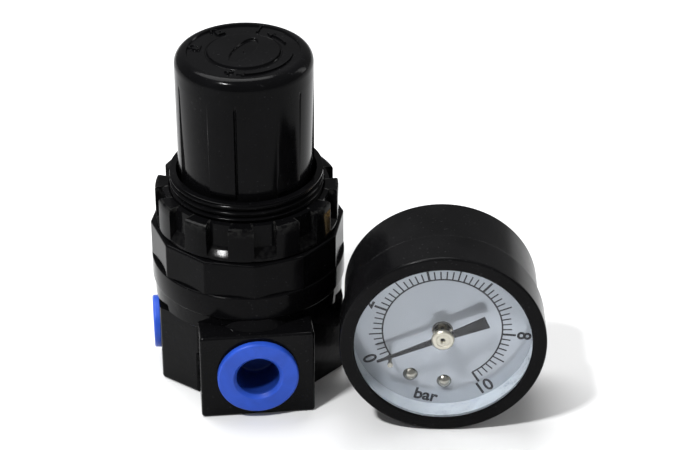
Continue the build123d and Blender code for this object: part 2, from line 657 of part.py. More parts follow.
def regulator_nodes():
    """Every piece of the regulator, by node name."""
    front = Pos(0, -PORT_FACE_Y, PORT_Z) * Rot(90, 0, 0)
    left = Pos(-SIDE_X, 0, GAUGE_PORT_Z) * Rot(0, -90, 0)
    return {
        "body": make_body(),
        "bottom_cap": make_bottom_cap(),
        "bottom_cap_oring": torus(8.15, 0.78, 5.28),
        "valve_guide_oring": torus(2.28, 0.38, 5.02),
        "bonnet": make_bonnet(),
        "thrust_washer": make_thrust_washer(),
        "diaphragm": make_diaphragm(),
        "valve_spring": coil(3.4, 0.3, 5.52, 8.28, 3),
        "valve_poppet": make_valve_poppet(),
        "valve_seal": make_valve_seal(),
        "relief_seat": make_relief_seat(),
        "diaphragm_washer": make_diaphragm_washer(),
        "diaphragm_plate": make_diaphragm_plate(),
        "adjusting_spring": coil(SPRING_MEAN_R, SPRING_WIRE_R, PLATE_TOP + 0.02, SEAT_NUT_BOTTOM - 0.02, 6),
        "spring_seat_nut": make_spring_seat_nut(),
        "adjusting_screw": make_adjusting_screw(),
        "screw_clip": make_screw_clip(),
        "panel_nut": make_panel_nut(),
        "knob": make_knob(),
        "port_plug": front * make_plug(8.71, 1.5, 6.5, 9.0, 4.6),
        "gauge_port_plug": left * make_plug(5.81, 1.4, 4.8, 6.5, 3.2),
    }


def gauge_nodes():
    """Every piece of the gauge, by node name, in the gauge's own frame."""
    return {
        "gauge_case": make_gauge_case(),
        "gauge_bezel": make_gauge_bezel(),
        "gauge_crystal": make_crystal(),
        "crystal_gasket": make_crystal_gasket(),
        "gauge_dial": make_dial(),
        "dial_ring": make_dial_ring(),
        "dial_rivets": make_dial_rivets(),
        "stop_pin": make_stop_pin(),
        "pointer": make_pointer(),
        "pointer_hub": make_pointer_hub(),
        "pinion_shaft": make_pinion_shaft(),
        "dial_bushing": make_dial_bushing(),
        "movement_front_plate": make_movement_plate(8.6, 9.4),
        "movement_back_plate": make_movement_plate(12.6, 13.4),
        "movement_pillars": make_movement_pillars(),
        "hairspring": make_hairspring(),
        "sector_gear": make_sector_gear(),
        "sector_shaft": make_sector_shaft(),
        "link": make_link(),
        "bourdon_tube": make_bourdon_tube(),
        "tube_tip": make_tube_tip(),
        "gauge_socket": make_gauge_socket(),
        "case_screws": make_case_screws(),
    }


def write_node(name, shape):
    """One STEP file for one node; a list of solids becomes one group."""
    if isinstance(shape, list):
        shape = Compound(children=shape)
    export_step(shape, os.path.join("parts", name + ".step"))


os.makedirs("parts", exist_ok=True)
for node, solid in regulator_nodes().items():
    write_node(node, solid)
to_place = place_gauge()
for node, solid in gauge_nodes().items():
    if isinstance(solid, list):
        write_node(node, [to_place * piece for piece in solid])
    else:
        write_node(node, to_place * solid)
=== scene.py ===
"""Looks of an air pressure regulator and its loose dial gauge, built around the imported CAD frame.

Lengths in this script are millimetres until a mesh is made, and metres in Blender. The regulator's
axis is +Z, its plugged main port faces -Y. Gauge pieces are made in the gauge's own frame: Z is the
depth behind the bezel's front, X points to the dial's right and Y down.
"""
import json
import math

import bmesh
import bpy
import numpy as np
from mathutils import Matrix, Vector


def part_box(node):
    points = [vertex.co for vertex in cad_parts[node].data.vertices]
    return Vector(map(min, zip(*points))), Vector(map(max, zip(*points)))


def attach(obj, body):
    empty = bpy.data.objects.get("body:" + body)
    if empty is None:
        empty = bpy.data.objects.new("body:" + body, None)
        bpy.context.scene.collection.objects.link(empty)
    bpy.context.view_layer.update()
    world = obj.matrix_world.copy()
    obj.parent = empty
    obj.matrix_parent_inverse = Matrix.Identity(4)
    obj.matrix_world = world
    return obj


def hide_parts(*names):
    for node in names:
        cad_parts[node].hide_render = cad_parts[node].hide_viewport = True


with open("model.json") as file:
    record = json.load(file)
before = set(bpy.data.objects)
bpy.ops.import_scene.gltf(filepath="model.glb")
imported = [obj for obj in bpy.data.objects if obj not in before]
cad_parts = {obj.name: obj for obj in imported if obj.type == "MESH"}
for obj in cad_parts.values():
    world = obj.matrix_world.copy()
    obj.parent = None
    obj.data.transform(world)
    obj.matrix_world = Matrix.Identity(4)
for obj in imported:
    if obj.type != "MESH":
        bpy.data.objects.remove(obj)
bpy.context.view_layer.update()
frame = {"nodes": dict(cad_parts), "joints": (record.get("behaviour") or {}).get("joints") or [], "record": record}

MM = 0.001
NODES = frame["nodes"]
JOINTS = {joint["name"]: joint for joint in frame["joints"]}
FULL = 2 * math.pi
FRONT = -90.0                   # direction of the plugged main port, in degrees from +X


# ---- frame: sizes read from the CAD nodes ----

def node_box(node):
    """Lowest and highest corner of a CAD node, in millimetres."""
    low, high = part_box(node)
    return np.array(low) / MM, np.array(high) / MM


def half_width(node):
    """Radius of a round CAD node about the regulator's axis."""
    low, high = node_box(node)
    return float(high[0] - low[0]) / 2


def gauge_frame():
    """From the gauge's own frame to the row frame: depth and dial-up come from the joints."""
    depth = Vector(JOINTS["pointer_turn"]["axis"]).normalized()
    up = Vector(JOINTS["link_travel"]["axis"]).normalized()
    right = depth.cross(up).normalized()
    joint_depth = 5.0
    centre = Vector(JOINTS["pointer_turn"]["pos_m"]) / MM - depth * joint_depth
    turned = Matrix((right, -up, depth)).transposed().to_4x4()
    return Matrix.Translation(centre) @ turned


GAUGE = gauge_frame()
UPRIGHT = Matrix.Identity(4)


# ---- geometry helpers ----

def rounded(corners, loop=False, steps=5):
    """Outline with the corners (r, z, radius) turned into arcs, and a point just beyond each end of
    an arc, so that the straight stretches shade flat."""
    side_share = 0.45                   # an arc takes up no more than this share of a side
    beyond, beyond_limit = 0.35, 0.2    # how far past an arc its extra point lies
    count = len(corners)
    points = []
    for index, corner in enumerate(corners):
        here = np.array(corner[:2], float)
        radius = corner[2] if len(corner) > 2 else 0.0
        if radius <= 0 or (not loop and index in (0, count - 1)):
            points.append(here)
            continue
        before = np.array(corners[index - 1][:2], float) - here
        after = np.array(corners[(index + 1) % count][:2], float) - here
        room = side_share * min(np.linalg.norm(before), np.linalg.norm(after))
        before /= np.linalg.norm(before)
        after /= np.linalg.norm(after)
        half_turn = (math.pi - math.acos(float(np.clip(before @ after, -1, 1)))) / 2
        reach = min(radius * math.tan(half_turn), room)
        weight = math.cos(half_turn)
        start, end = here + before * reach, here + after * reach
        points.append(start + before * min(reach * beyond, room * beyond_limit))
        for step in range(steps + 1):
            s = step / steps
            mix = np.array([(1 - s) ** 2, 2 * weight * s * (1 - s), s ** 2])
            points.append((mix[0] * start + mix[1] * here + mix[2] * end) / mix.sum())
        points.append(end + after * min(reach * beyond, room * beyond_limit))
    return points


def divided(points, longest):
    """The same outline with no stretch longer than the given length."""
    out = [np.array(points[0], float)]
    for point in points[1:]:
        gap = np.array(point, float) - out[-1]
        parts = max(1, math.ceil(np.linalg.norm(gap) / longest))
        start = out[-1]
        out += [start + gap * (k + 1) / parts for k in range(parts)]
    return out


def new_object(name, vertices, faces, sharp=35.0):
    """Smooth-shaded mesh object, sharp where faces meet at more than the given angle."""
    mesh = bpy.data.meshes.new(name)
    mesh.from_pydata(vertices, [], faces)
    work = bmesh.new()
    work.from_mesh(mesh)
    bmesh.ops.recalc_face_normals(work, faces=work.faces)
    work.to_mesh(mesh)
    work.free()
    mesh.polygons.foreach_set("use_smooth", [True] * len(mesh.polygons))
    mesh.set_sharp_from_angle(angle=math.radians(sharp))
    obj = bpy.data.objects.new(name, mesh)
    bpy.context.scene.collection.objects.link(obj)
    return obj


def placed(points, place):
    """Points in mm carried by a matrix, as metres."""
    flat = np.asarray(points, float).reshape(-1, 3)
    matrix = np.array(place)
    return (flat @ matrix[:3, :3].T + matrix[:3, 3]) * MM


def turn(name, outline, columns=192, shape=None, place=UPRIGHT, sharp=35.0):
    """Turned solid from an outline of (radius, height). The outline either closes on itself or runs
    from the axis to the axis. shape(radius, height, angle) may change the radius and the height."""
    outline = np.array(outline, float)
    angles = np.linspace(0, FULL, columns, endpoint=False) if np.isscalar(columns) else np.asarray(columns)
    poles = outline[0][0] < 1e-6 and outline[-1][0] < 1e-6
    rows = outline[1:-1] if poles else outline
    radius = np.repeat(rows[:, :1], len(angles), axis=1)
    height = np.repeat(rows[:, 1:], len(angles), axis=1)
    angle = np.repeat(angles[None, :], len(rows), axis=0)
    if shape:
        radius, height, angle = shape(radius, height, angle)
    points = np.stack([radius * np.cos(angle), radius * np.sin(angle), height], axis=-1).reshape(-1, 3)
    count, wide = len(rows), len(angles)
    grid = np.arange(count * wide).reshape(count, wide)
    lower = grid if not poles else grid[:-1]
    upper = np.roll(grid, -1, axis=0) if not poles else grid[1:]
    quads = np.stack([lower, np.roll(lower, -1, axis=1), np.roll(upper, -1, axis=1), upper], axis=-1)
    faces = quads.reshape(-1, 4).tolist()
    if poles:
        ends = [[0, 0, outline[0][1]], [0, 0, outline[-1][1]]]
        points = np.vstack([points, ends])
        first, last = count * wide, count * wide + 1
        for k in range(wide):
            after = (k + 1) % wide
            faces.append([first, int(grid[0][after]), int(grid[0][k])])
            faces.append([last, int(grid[-1][k]), int(grid[-1][after])])
    return new_object(name, placed(points, place).tolist(), faces, sharp)


def plate(name, outline, low, high, edge=0.05, place=UPRIGHT):
    """Flat piece from an outline of (x, y), with a small chamfer round its front (the low side)."""
    outline = np.array(outline, float)
    middle = outline.mean(axis=0)
    shrink = 1 - edge / np.abs(outline - middle).max()
    rings = [(middle + (outline - middle) * shrink, low), (outline, low + edge), (outline, high)]
    points = [[x, y, z] for ring, z in rings for x, y in ring]
    count = len(outline)
    faces = [list(range(count)), list(range(2 * count, 3 * count))[::-1]]
    for level in range(2):
        for k in range(count):
            after = (k + 1) % count
            base = level * count
            faces.append([base + k, base + after, base + count + after, base + count + k])
    return new_object(name, placed(points, place).tolist(), faces)


def join(name, pieces):
    """One object from several."""
    vertices, faces = [], []
    for piece in pieces:
        offset = len(vertices)
        vertices += [tuple(v.co) for v in piece.data.vertices]
        faces += [[offset + v for v in polygon.vertices] for polygon in piece.data.polygons]
        bpy.data.objects.remove(piece)
    return new_object(name, vertices, faces)


def smooth_step(value, low, high):
    """0 below low, 1 above high, smooth between. Works on arrays."""
    share = np.clip((value - low) / (high - low), 0, 1)
    return share * share * (3 - 2 * share)


def thread_depth(height, angle, pitch):
    """Share of a right-hand V thread's depth, 0 at the crest and 1 at the root."""
    root_end, crest_start = 0.06, 0.9
    phase = (height / pitch - angle / FULL) % 1.0
    return 1 - smooth_step(np.abs(phase - 0.5) * 2, root_end, crest_start)


def polygon_radius(angle, sides, apothem, corner, first=0.0):
    """Radius of a polygon with rounded corners; first is the angle of one of its corners."""
    half = math.pi / sides
    local = np.abs((angle - first) % (2 * half) - half)
    inner = apothem - corner
    flat = local <= math.atan(inner * math.tan(half) / apothem)
    centre_r = inner / math.cos(half)
    along = centre_r * np.cos(half - local)
    across = centre_r * np.sin(half - local)
    arc = along + np.sqrt(np.maximum(corner ** 2 - across ** 2, 0))
    return np.where(flat, apothem / np.cos(local), arc)


# ---- materials ----

class Shader:
    """A node material around one Principled shader."""

    def __init__(self, name, **values):
        self.material = bpy.data.materials.new(name)
        self.material.use_nodes = True
        self.tree = self.material.node_tree
        self.bsdf = self.tree.nodes["Principled BSDF"]
        for socket, value in values.items():
            self.bsdf.inputs[socket.replace("_", " ")].default_value = value
        self.place = self.tree.nodes.new("ShaderNodeTexCoord").outputs["Object"]

    def node(self, kind, links=None, **settings):
        """Add a node; links feed its inputs, settings set its inputs' values or its properties."""
        made = self.tree.nodes.new(kind)
        for key, value in settings.items():
            if hasattr(made, key):
                setattr(made, key, value)
            else:
                made.inputs[key.replace("_", " ")].default_value = value
        for key, source in (links or {}).items():
            self.tree.links.new(source, made.inputs[key])
        return made

    def stretched(self, scale):
        """Object coordinates with their own scale along each axis."""
        return self.node("ShaderNodeMapping", {"Vector": self.place}, Scale=scale).outputs["Vector"]

    def noise(self, scale, detail=4.0, vector=None, distortion=0.0):
        """Noise from 0 to 1; scale is the number of features in a metre."""
        made = self.node("ShaderNodeTexNoise", {"Vector": vector or self.place},
                         Scale=scale, Detail=detail, Distortion=distortion)
        return made.outputs["Fac"]

    def span(self, source, low, high, start=0.3, end=0.7):
        """Map a value from start..end to low..high."""
        made = self.node("ShaderNodeMapRange", {"Value": source})
        for socket, value in zip(("From Min", "From Max", "To Min", "To Max"), (start, end, low, high)):
            made.inputs[socket].default_value = value
        return made.outputs["Result"]

    def blend(self, factor, first, second):
        """Colour between two, either of which may be a socket."""
        made = self.node("ShaderNodeMix", data_type="RGBA")
        self.tree.links.new(factor, made.inputs[0])
        for index, value in ((6, first), (7, second)):
            if isinstance(value, bpy.types.NodeSocket):
                self.tree.links.new(value, made.inputs[index])
            else:
                made.inputs[index].default_value = (*value, 1)
        return made.outputs[2]

    def math(self, operation, first, second):
        """Arithmetic on two values, either of which may be a socket."""
        made = self.node("ShaderNodeMath", operation=operation)
        for index, value in ((0, first), (1, second)):
            if isinstance(value, bpy.types.NodeSocket):
                self.tree.links.new(value, made.inputs[index])
            else:
                made.inputs[index].default_value = value
        return made.outputs[0]

    def colour(self, socket):
        self.tree.links.new(socket, self.bsdf.inputs["Base Color"])

    def roughness(self, socket):
        self.tree.links.new(socket, self.bsdf.inputs["Roughness"])

    def bump(self, height, distance, strength=1.0):
        """Surface relief; distance is in millimetres."""
        made = self.node("ShaderNodeBump", {"Height": height}, Strength=strength, Distance=distance * MM)
        self.tree.links.new(made.outputs["Normal"], self.bsdf.inputs["Normal"])


def shade(colour, factor):
    """A colour made lighter or darker."""
    return tuple(min(1.0, channel * factor) for channel in colour)


DUST_COLOUR = (0.22, 0.22, 0.23)
WORN_COLOUR = (0.10, 0.10, 0.095)


def black_surface(name, colour, rough, grain, relief, specular, dust=0.0, wear=False, peel=0.0):
    """Black plastic or paint: uneven gloss, fine grain, smears, a little dust, worn edges, paint swell."""
    look = Shader(name, Specular_IOR_Level=specular)
    smear = look.noise(70, 3, distortion=0.6)
    grit = look.noise(grain, 5)
    mottled = look.blend(look.span(smear, 0, 1), shade(colour, 0.7), shade(colour, 1.35))
    if dust:
        spots = look.noise(1700, 1)
        settled = look.math("MULTIPLY", look.span(spots, 0, dust, 0.70, 0.76), look.span(smear, 0.2, 1))
        mottled = look.blend(settled, mottled, DUST_COLOUR)
    shine = look.math("ADD", look.span(smear, rough * 0.75, rough * 1.3), look.span(grit, -0.03, 0.03))
    if wear:
        mask = look.node("ShaderNodeAttribute", attribute_name="wear").outputs["Fac"]
        broken = look.span(look.noise(900, 6), 0, 1, 0.42, 0.56)
        worn = look.math("MULTIPLY", mask, broken)
        mottled = look.blend(worn, mottled, WORN_COLOUR)
        shine = look.math("ADD", shine, look.math("MULTIPLY", worn, 0.12))
    look.colour(mottled)
    look.roughness(shine)
    swell = look.math("MULTIPLY", look.noise(420, 2), peel)
    look.bump(look.math("ADD", grit, swell), relief)
    return look.material


def metal_surface(name, colour, rough, brush=(1, 1, 1), relief=0.004, tarnish=0.25):
    """Bare metal: fine machining lines, uneven tarnish."""
    look = Shader(name, Metallic=1.0)
    lines = look.noise(900, 5, look.stretched(brush))
    cloud = look.noise(240, 4, distortion=0.4)
    dull = look.blend(look.span(cloud, 0, tarnish), colour, shade(colour, 0.45))
    look.colour(look.blend(look.span(lines, 0, 0.35), dull, shade(colour, 0.75)))
    shine = look.math("ADD", look.span(lines, rough * 0.8, rough * 1.2), look.span(cloud, -0.03, 0.08))
    look.roughness(shine)
    look.bump(lines, relief)
    return look.material


def soft_plastic(name, colour, rough, scatter, relief=0.012, depth=False):
    """Moulded soft plastic: slight cloudiness, flow streaks, matt skin, and painted shade that darkens it where it
    is deep.
    """
    look = Shader(name, Subsurface_Weight=scatter, Subsurface_Scale=0.0012, Specular_IOR_Level=0.22)
    look.bsdf.inputs["Subsurface Radius"].default_value = (0.4, 0.6, 1.0)
    cloud = look.noise(160, 4, distortion=1.2)
    skin = look.noise(2600, 4)
    tinted = look.blend(look.span(cloud, 0, 1), shade(colour, 0.88), shade(colour, 1.12))
    # painted shade: the colour darkens towards the inside of the plug's cup, following the 'depth' mask
    if depth:
        inside = look.node("ShaderNodeAttribute", attribute_name="depth").outputs["Fac"]
        tinted = look.blend(inside, tinted, shade(colour, 0.36))
    look.colour(tinted)
    look.roughness(look.math("ADD", look.span(cloud, rough * 0.9, rough * 1.1), look.span(skin, -0.04, 0.04)))
    look.bump(skin, relief)
    return look.material


def rubber_surface():
    """Nitrile rubber: matt, with bloom."""
    look = Shader("rubber", Specular_IOR_Level=0.3)
    bloom = look.noise(420, 5)
    look.colour(look.blend(look.span(bloom, 0, 1), (0.012, 0.012, 0.013), (0.035, 0.035, 0.036)))
    look.roughness(look.span(bloom, 0.55, 0.75))
    look.bump(look.noise(3200, 3), 0.01)
    return look.material


def dial_surface():
    """Pale blue-white satin finish on bright metal, which mirrors the pointer faintly."""
    look = Shader("dial_face", Specular_IOR_Level=0.5, Metallic=0.36)
    cloud = look.noise(60, 3)
    skin = look.noise(2400, 4)
    look.colour(look.blend(look.span(cloud, 0, 1), (0.365, 0.39, 0.425), (0.40, 0.42, 0.45)))
    look.roughness(look.span(skin, 0.16, 0.22))
    look.bump(skin, 0.0012)
    return look.material


def crystal_surface():
    """Clear window with faint smears."""
    look = Shader("crystal", Transmission_Weight=1.0, IOR=1.2)
    look.bsdf.inputs["Base Color"].default_value = (0.97, 0.985, 1.0, 1)
    smear = look.noise(120, 5, distortion=1.5)
    look.roughness(look.span(smear, 0.0, 0.035, 0.5, 0.8))
    return look.material


def print_surface():
    """Printing ink on the dial."""
    look = Shader("dial_ink", Specular_IOR_Level=0.3)
    patch = look.noise(900, 4)
    look.colour(look.blend(look.span(patch, 0, 1), (0.004, 0.004, 0.006), (0.010, 0.010, 0.013)))
    look.roughness(look.span(patch, 0.4, 0.55))
    return look.material


BLACK = (0.0023, 0.0023, 0.0026)
ENAMEL_BLACK = (0.0034, 0.0034, 0.0037)
BRASS = (0.72, 0.53, 0.27)
MATERIALS = {
    "cast_black": black_surface("cast_black", BLACK, 0.10, 1500, 0.012, 0.075, dust=0.07, peel=5.0),
    "moulded_black": black_surface("moulded_black", BLACK, 0.14, 1900, 0.008, 0.045, dust=0.05, wear=True),
    "knob_black": black_surface("knob_black", BLACK, 0.13, 2300, 0.010, 0.050, dust=0.05),
    "gauge_black": black_surface("gauge_black", ENAMEL_BLACK, 0.20, 2100, 0.012, 0.055, dust=0.06),
    "plug_blue": soft_plastic("plug_blue", (0.019, 0.070, 0.44), 0.36, 0.0, depth=True),
    "ring_white": soft_plastic("ring_white", (0.33, 0.36, 0.39), 0.30, 0.05, 0.004),
    "spring_steel": metal_surface("spring_steel", (0.50, 0.50, 0.51), 0.30, (1, 1, 3)),
    # painted shade: steel made nearly black, so the hole in the pointer's hub where the shaft shows looks shaded
    "painted_shade_steel": metal_surface("painted_shade_steel", (0.030, 0.028, 0.026), 0.4),
    "steel": metal_surface("steel", (0.40, 0.38, 0.33), 0.18, (2, 1, 1), tarnish=0.15),
    "brass": metal_surface("brass", BRASS, 0.26, (1, 2, 1)),
    "hub_brass": metal_surface("hub_brass", (0.62, 0.58, 0.48), 0.30, (1, 1, 1), 0.002, 0.10),
    "aluminium": metal_surface("aluminium", (0.74, 0.74, 0.75), 0.28, (1, 1, 4)),
    "rubber": rubber_surface(),
    "dial_face": dial_surface(),
    "crystal": crystal_surface(),
    "pointer_paint": black_surface("pointer_paint", (0.024, 0.024, 0.026), 0.45, 1800, 0.004, 0.25),
    "dial_ink": print_surface(),
}


def piece(obj, body, slot, *replaced, material=None):
    """Give a made piece its body, slot and finish, and the CAD nodes it stands for."""
    obj.data.materials.clear()
    obj.data.materials.append(MATERIALS[material or slot])
    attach(obj, body)
    if replaced:
        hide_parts(*replaced)
    return obj


def paint_cad_nodes():
    """Every CAD node gets the procedural finish of its slot, apart from two with one of their own."""
    slots = {part["node"]: part["material_slot"] for part in frame["record"]["subparts"]}
    # the pinion shaft gets the nearly black steel, painted shade for the hole in the pointer's hub
    finish = {"pinion_shaft": "painted_shade_steel", "dial_bushing": "steel"}
    for node, obj in NODES.items():
        obj.data.materials.clear()
        obj.data.materials.append(MATERIALS[finish.get(node, slots[node])])


# ---- camera, light and floor ----

CAMERA_PLACE = Vector((-24.72, -424.15, 297.54)) * MM
CAMERA_TARGET = Vector((19.61, 0.0, 32.09)) * MM
CAMERA_LENS = 122.67
SENSOR = 36.0


def aim(obj, target):
    """Point a camera or a light at a place, level."""
    obj.rotation_euler = (Vector(target) - obj.location).to_track_quat("-Z", "Y").to_euler()


def make_camera():
    """Camera at the product shot's angle: a little left of the port, looking down."""
    data = bpy.data.cameras.new("camera")
    data.lens = CAMERA_LENS
    data.sensor_width = SENSOR
    data.clip_start = 0.01
    data.clip_end = 50
    camera = bpy.data.objects.new("camera", data)
    bpy.context.scene.collection.objects.link(camera)
    camera.location = CAMERA_PLACE
    aim(camera, CAMERA_TARGET)
    bpy.context.scene.camera = camera


def area_light(name, place, target, size, power):
    """One white rectangular light; place and target in metres, size as (width, height)."""
    data = bpy.data.lights.new(name, "AREA")
    data.shape = "RECTANGLE"
    data.size, data.size_y = size
    data.energy = power
    light = bpy.data.objects.new(name, data)
    bpy.context.scene.collection.objects.link(light)
    light.location = place
    aim(light, target)


def make_studio():
    """Pale floor and surroundings, a small strong key light and two softboxes."""
    world = bpy.data.worlds.new("studio")
    bpy.context.scene.world = world
    world.use_nodes = True
    background = world.node_tree.nodes["Background"]
    background.inputs["Color"].default_value = (1, 1, 1, 1)
    background.inputs["Strength"].default_value = 0.34
    floor_radius, floor_height = 4.0, -0.00002
    bpy.ops.mesh.primitive_circle_add(vertices=96, radius=floor_radius, fill_type="NGON",
                                      location=(0, 0, floor_height))
    floor = bpy.context.object
    floor.name = "floor"
    look = Shader("floor", Specular_IOR_Level=0.2)
    fibre = look.noise(40, 3)
    look.colour(look.blend(look.span(fibre, 0, 1), (0.66, 0.663, 0.666), (0.68, 0.682, 0.685)))
    look.roughness(look.span(fibre, 0.75, 0.85))
    floor.data.materials.append(look.material)
    middle = (0.02, 0.0, 0.03)
    area_light("key", (-0.42, -0.36, 0.90), middle, (0.11, 0.07), 11.0)
    area_light("overhead", (-0.15, 0.40, 1.05), middle, (0.9, 0.6), 15)
    area_light("right", (0.95, 0.30, 0.40), middle, (0.20, 0.6), 2.0)
    bpy.context.scene.view_settings.view_transform = "Standard"
    bpy.context.scene.view_settings.look = "None"
    bpy.context.scene.view_settings.exposure = 0.0


# ---- knob ----

KNOB_COLUMNS = 720
KNOB_PAD_START = math.radians(FRONT - 36.2)
KNOB_PAD_ARC = math.radians(23.7)
KNOB_PAD_PITCH = FULL / 6
KNOB_FACE_R = 12.2              # where the flat top ends and its rounding starts
KNOB_BORE_R = 13.2
DRIVE_APOTHEM = 4.08            # the hexagonal hole for the adjusting screw
MARK_RING_DEPTH = 0.40          # the marks stand in a ring that is lower than the top by this
MARK_EDGE = 0.08
LOCK_RIB_PITCH = FULL / 12      # the knob's ribs drop between those on the bonnet's column
LOCK_RIB_HALF = 0.8
LOCK_RIB_HEIGHT = 0.8


def mark_arc(x, y, radius, start, end, width):
    """Distance inside an arc-shaped stroke; angles in degrees from +X."""
    middle = math.radians((start + end) / 2)
    half = math.radians((end - start) / 2)
    angle = (np.arctan2(y, x) - middle + math.pi) % FULL - math.pi
    distance = np.hypot(x, y)
    inside_arc = width / 2 - np.abs(distance - radius)
    past_end = (half - np.abs(angle)) * radius
    return np.minimum(inside_arc, past_end)


def local(x, y, radius, angle):
    """Coordinates of a mark centred at a place on the top: first outwards, then anticlockwise."""
    turn_by = math.radians(angle)
    cosine, sine = math.cos(turn_by), math.sin(turn_by)
    out = x * cosine + y * sine - radius
    across = -x * sine + y * cosine
    return out, across


def mark_bar(u, v, length, width):
    """Distance inside a bar that lies along v."""
    return np.minimum(width / 2 - np.abs(u), length / 2 - np.abs(v))


def mark_arrow_head(u, v, length, width):
    """Distance inside a triangle that points along +v, its base at v = 0."""
    taper = width / 2 * (1 - v / length)
    return np.minimum(np.minimum(taper - np.abs(u), v), length - v)


def mark_padlock(u, v, opened):
    """Distance inside a generic padlock: body towards the centre, shackle outwards."""
    body_place, body_u, body_v, keyhole_r = -0.55, 0.75, 1.05, 0.26
    body = np.minimum(body_v - np.abs(v), body_u - np.abs(u - body_place))
    keyhole = keyhole_r - np.hypot(u - body_place, v)
    bow_place, bow_r, bow_half = 0.55, 0.68, 0.17
    shift = 0.9 if opened else 0.0
    bow = bow_half - np.abs(np.hypot(u - bow_place, v - shift) - bow_r)
    legs = np.minimum(bow_half - np.abs(np.abs(v - shift) - bow_r), u - 0.1)
    return np.maximum(np.minimum(body, -keyhole), np.where(u > 0.45, bow, legs))


def top_marks(x, y):
    """1 on the raised marks of the knob's top and 0 beside them: two turning arrows, plus and minus,
    and a closed and an open padlock for the knob's two positions."""
    marks = [mark_arc(x, y, 10.2, -93, -12, 0.42),
             mark_arc(x, y, 9.3, 17, 44, 0.42)]
    u, v = local(x, y, 9.3, 44)
    marks.append(mark_arrow_head(u, v, 1.7, 1.7))
    u, v = local(x, y, 10.2, -93)
    marks.append(mark_arrow_head(u, -v, 1.7, 1.7))
    u, v = local(x, y, 10.4, 67.5)
    marks.append(mark_bar(v, u, 3.0, 0.5))
    u, v = local(x, y, 9.6, -112)
    marks.append(np.maximum(mark_bar(u, v, 2.0, 0.45), mark_bar(v, u, 2.0, 0.45)))
    for angle, opened in ((116, True), (165, False)):
        u, v = local(x, y, 10.4, angle)
        marks.append(mark_padlock(u, v, opened))
    return smooth_step(np.max(marks, axis=0), -MARK_EDGE / 2, MARK_EDGE / 2)


def top_relief(x, y):
    """How far the knob's top lies below its face: the marks' ring, a round groove and a plain oval."""
    from_axis = np.hypot(x, y)
    ring_start, ring_end, wall = 7.5, 11.75, 0.2
    ring = smooth_step(from_axis, ring_start, ring_start + wall)
    ring *= 1 - smooth_step(from_axis, ring_end, ring_end + wall)
    groove_r, groove_half, groove_wall, groove_depth = 7.9, 0.24, 0.14, 0.20
    groove = smooth_step(groove_half - np.abs(from_axis - groove_r), 0, groove_wall)
    oval_turn, oval_length, oval_width, oval_depth = 62, 6.0, 2.2, 0.45
    along, across = local(x, y, 0, oval_turn)
    oval = smooth_step(1 - np.hypot(along / oval_length, across / oval_width), 0, 0.07)
    return MARK_RING_DEPTH * ring * (1 - top_marks(x, y)) + groove_depth * groove + oval_depth * oval


def off_rib(radius, angle, first):
    """Distance sideways from the middle of the nearest lock rib; first is the angle of one rib."""
    half = LOCK_RIB_PITCH / 2
    return radius * np.abs(np.sin((angle - first + half) % LOCK_RIB_PITCH - half))


def knob_shape(top, grip_top, grip_bottom, radius, rib_low, rib_high):
    """Function that adds the grip pads, the top's relief, the hexagonal hole and the lock ribs."""
    grip_r, pad_depth, pad_edge = 13.6, 0.50, math.radians(0.55)
    cut_side, cut_half, cut_wall, cut_depth = 0.2, 0.26, 0.14, 0.30

    def shape(r, z, angle):
        x, y = r * np.cos(angle), r * np.sin(angle)
        # grip pads stand out from panels that fade away at the grip's top
        from_start = (angle - KNOB_PAD_START) % KNOB_PAD_PITCH
        pad = smooth_step(from_start, 0, pad_edge)
        pad *= 1 - smooth_step(from_start, KNOB_PAD_ARC - pad_edge, KNOB_PAD_ARC)
        rise = np.clip((z - grip_bottom) / (grip_top - grip_bottom), 0, 1)
        # a narrow cut runs along each pad's far side and ends below the grip's top
        half_pitch = KNOB_PAD_PITCH / 2
        past_pad = radius * ((from_start - KNOB_PAD_ARC + half_pitch) % KNOB_PAD_PITCH - half_pitch)
        cut = smooth_step(cut_half - np.abs(past_pad - cut_side), 0, cut_wall)
        cut *= 1 - smooth_step(z, grip_top - 1.3, grip_top - 0.3)
        in_grip = smooth_step(z, grip_bottom - 0.15, grip_bottom + 0.1) * (z < grip_top)
        change = (pad_depth * (1 - rise) * pad - cut_depth * cut) * in_grip
        r = np.where((r > grip_r) & (z < grip_top), r + change, r)
        on_top = (z > top - 0.01) & (r < KNOB_FACE_R - 0.01)
        z = np.where(on_top, z - top_relief(x, y), z)
        # the hexagonal hole and the lock ribs inside
        drive = (z < top - 3) & (r > 3.9) & (r < 4.6)
        r = np.where(drive, polygon_radius(angle, 6, DRIVE_APOTHEM, 0.2), r)
        rib = (np.abs(r - KNOB_BORE_R) < 0.05) & (z > rib_low) & (z < rib_high)
        rib &= off_rib(r, angle, LOCK_RIB_PITCH / 2) < LOCK_RIB_HALF
        return np.where(rib, KNOB_BORE_R - LOCK_RIB_HEIGHT, r), z, angle
    return shape


